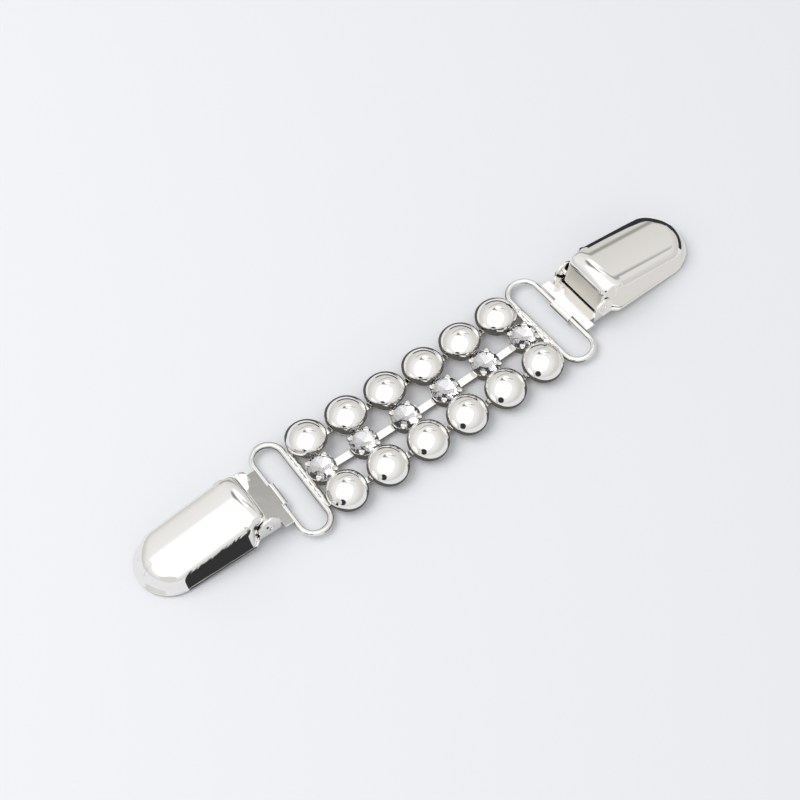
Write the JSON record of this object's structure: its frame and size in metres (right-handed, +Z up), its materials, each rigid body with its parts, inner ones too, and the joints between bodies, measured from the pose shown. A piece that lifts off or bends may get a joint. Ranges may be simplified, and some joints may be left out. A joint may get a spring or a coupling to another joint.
{
  "type": "cardigan cinch clip",
  "caption": "Two metal lever clips on wire loops, joined by a flexible trim of cup-set crystals between rows of half-round beads, for drawing in a garment.",
  "frame": {"origin": "on the floor, under the middle of the whole", "axes": "+X along the strip to the right-hand clip, +Y across it to the far bead row and the hollow side of its slight bow, +Z up out of the shown face"},
  "size_m": [0.1288, 0.023, 0.0094],
  "materials": {
    "bead_shell": "mirror-bright silver-coloured plate on smooth half-round beads",
    "cup_metal": "bright silver-coloured plate with darker recesses",
    "link_metal": "bright silver-coloured plate on flat strips and solder",
    "wire": "bright silver-coloured plate on round wire",
    "clip_plate": "bright plate with fine rolling marks",
    "lever_sheet": "mirror-bright pressed sheet with turned edges",
    "pin_metal": "bright rivet with small peened heads",
    "crystal": "clear cut crystal",
    "pad_plastic": "moulded white plastic"
  },
  "bodies": {
    "row_1": {"bead_far_1": "bead_shell", "bead_near_1": "bead_shell", "bead_cup_far_1": "cup_metal", "bead_cup_near_1": "cup_metal", "crystal_1": "crystal", "crystal_cup_1": "cup_metal", "crystal_bar_1": "link_metal", "bead_tabs_1": "link_metal", "end_solder_left": "link_metal", "wire_loop_left": "wire"},
    "row_2": {"bead_far_2": "bead_shell", "bead_near_2": "bead_shell", "bead_cup_far_2": "cup_metal", "bead_cup_near_2": "cup_metal", "crystal_2": "crystal", "crystal_cup_2": "cup_metal", "crystal_bar_2": "link_metal", "bead_tabs_2": "link_metal"},
    "row_3": {"bead_far_3": "bead_shell", "bead_near_3": "bead_shell", "bead_cup_far_3": "cup_metal", "bead_cup_near_3": "cup_metal", "crystal_3": "crystal", "crystal_cup_3": "cup_metal", "crystal_bar_3": "link_metal", "bead_tabs_3": "link_metal"},
    "row_4": {"bead_far_4": "bead_shell", "bead_near_4": "bead_shell", "bead_cup_far_4": "cup_metal", "bead_cup_near_4": "cup_metal", "crystal_4": "crystal", "crystal_cup_4": "cup_metal"},
    "row_5": {"bead_far_5": "bead_shell", "bead_near_5": "bead_shell", "bead_cup_far_5": "cup_metal", "bead_cup_near_5": "cup_metal", "crystal_5": "crystal", "crystal_cup_5": "cup_metal", "crystal_bar_4": "link_metal", "bead_tabs_4": "link_metal"},
    "row_6": {"bead_far_6": "bead_shell", "bead_near_6": "bead_shell", "bead_cup_far_6": "cup_metal", "bead_cup_near_6": "cup_metal", "crystal_6": "crystal", "crystal_cup_6": "cup_metal", "crystal_bar_5": "link_metal", "bead_tabs_5": "link_metal", "end_solder_right": "link_metal", "wire_loop_right": "wire"},
    "clip_left": {"base_plate_left": "clip_plate", "hinge_pin_left": "pin_metal", "grip_pad_left": "pad_plastic"},
    "lever_arm_left": {"lever_left": "lever_sheet"},
    "clip_right": {"base_plate_right": "clip_plate", "hinge_pin_right": "pin_metal", "grip_pad_right": "pad_plastic"},
    "lever_arm_right": {"lever_right": "lever_sheet"}
  },
  "joints": [
    {"name": "bend_2_3", "type": "hinge", "parent": "row_3", "child": "row_2", "pos_m": [-0.00632, -0.0007, 0.0011], "axis": [-0.0088, -1, 0], "range_deg": [-15, 15]},
    {"name": "bend_1_2", "type": "hinge", "parent": "row_2", "child": "row_1", "pos_m": [-0.01596, -0.0005, 0.0011], "axis": [-0.0263, -0.9997, 0], "range_deg": [-15, 15]},
    {"name": "bend_3_4", "type": "hinge", "parent": "row_3", "child": "row_4", "pos_m": [0.00332, -0.00073, 0.0011], "axis": [-0.0088, 1, 0], "range_deg": [-15, 15]},
    {"name": "bend_4_5", "type": "hinge", "parent": "row_4", "child": "row_5", "pos_m": [0.00632, -0.0007, 0.0011], "axis": [-0.0088, 1, 0], "range_deg": [-15, 15]},
    {"name": "bend_5_6", "type": "hinge", "parent": "row_5", "child": "row_6", "pos_m": [0.01596, -0.0005, 0.0011], "axis": [-0.0263, 0.9997, 0], "range_deg": [-15, 15]},
    {"name": "swivel_left", "type": "hinge", "parent": "row_1", "child": "clip_left", "pos_m": [-0.03421, 0.00026, 0.0014], "axis": [-0.0438, -0.999, 0], "range_deg": [-90, 90]},
    {"name": "swivel_right", "type": "hinge", "parent": "row_6", "child": "clip_right", "pos_m": [0.03421, 0.00026, 0.0014], "axis": [-0.0438, 0.999, 0], "range_deg": [-90, 90]},
    {"name": "lever_hinge_left", "type": "hinge", "parent": "clip_left", "child": "lever_arm_left", "pos_m": [-0.03939, 0.00049, 0.00421], "axis": [0.0438, 0.999, 0], "range_deg": [0, 95]},
    {"name": "lever_hinge_right", "type": "hinge", "parent": "clip_right", "child": "lever_arm_right", "pos_m": [0.03939, 0.00049, 0.00421], "axis": [0.0438, -0.999, 0], "range_deg": [0, 95]}
  ]
}
